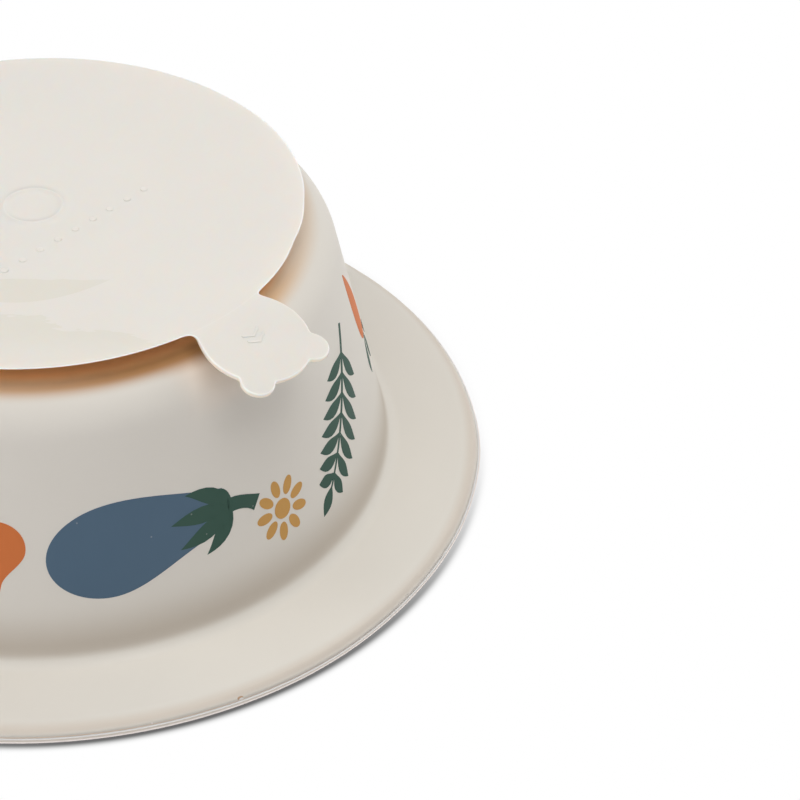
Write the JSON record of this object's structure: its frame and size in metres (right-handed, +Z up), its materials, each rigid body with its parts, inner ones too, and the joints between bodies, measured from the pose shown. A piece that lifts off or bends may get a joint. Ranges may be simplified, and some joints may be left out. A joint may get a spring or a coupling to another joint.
{
  "type": "suction bowl",
  "caption": "Soft silicone feeding bowl with a wide flat rim, upside down to show the suction disc that grips a table and the pull tab that lets it go.",
  "frame": {"origin": "centre of the rim's resting face, on the surface that the upside-down bowl lies on", "axes": "+Z up along the bowl's axis, towards the suction disc; the pull tab points 41.4 degrees from +X towards -Y"},
  "size_m": [0.16, 0.16, 0.0547],
  "materials": {
    "cream_silicone": "matte moulded silicone, cream",
    "polished_silicone": "smooth semi-gloss silicone, cream",
    "blue_print": "matte printed ink, slate blue",
    "green_print": "matte printed ink, deep green",
    "mustard_print": "matte printed ink, mustard",
    "rust_print": "matte printed ink, rust"
  },
  "bodies": {
    "bowl_body": {"bowl": "cream_silicone", "suction_neck": "cream_silicone"},
    "disc_body": {"suction_disc": "polished_silicone"},
    "tab_body": {"pull_tab": "polished_silicone"}
  },
  "joints": [
    {"name": "disc_press", "type": "slide", "parent": "bowl_body", "child": "disc_body", "axis": [0, 0, 1], "range_m": [-0.0015, 0], "stiffness_N_per_m": 2500, "deforming": ["suction_neck"]},
    {"name": "tab_lift", "type": "hinge", "parent": "disc_body", "child": "tab_body", "pos_m": [0.03586, -0.03161, 0.0542], "axis": [0.6613, 0.7501, 0], "range_deg": [-75, 25], "stiffness_Nm_per_rad": 0.0012}
  ]
}
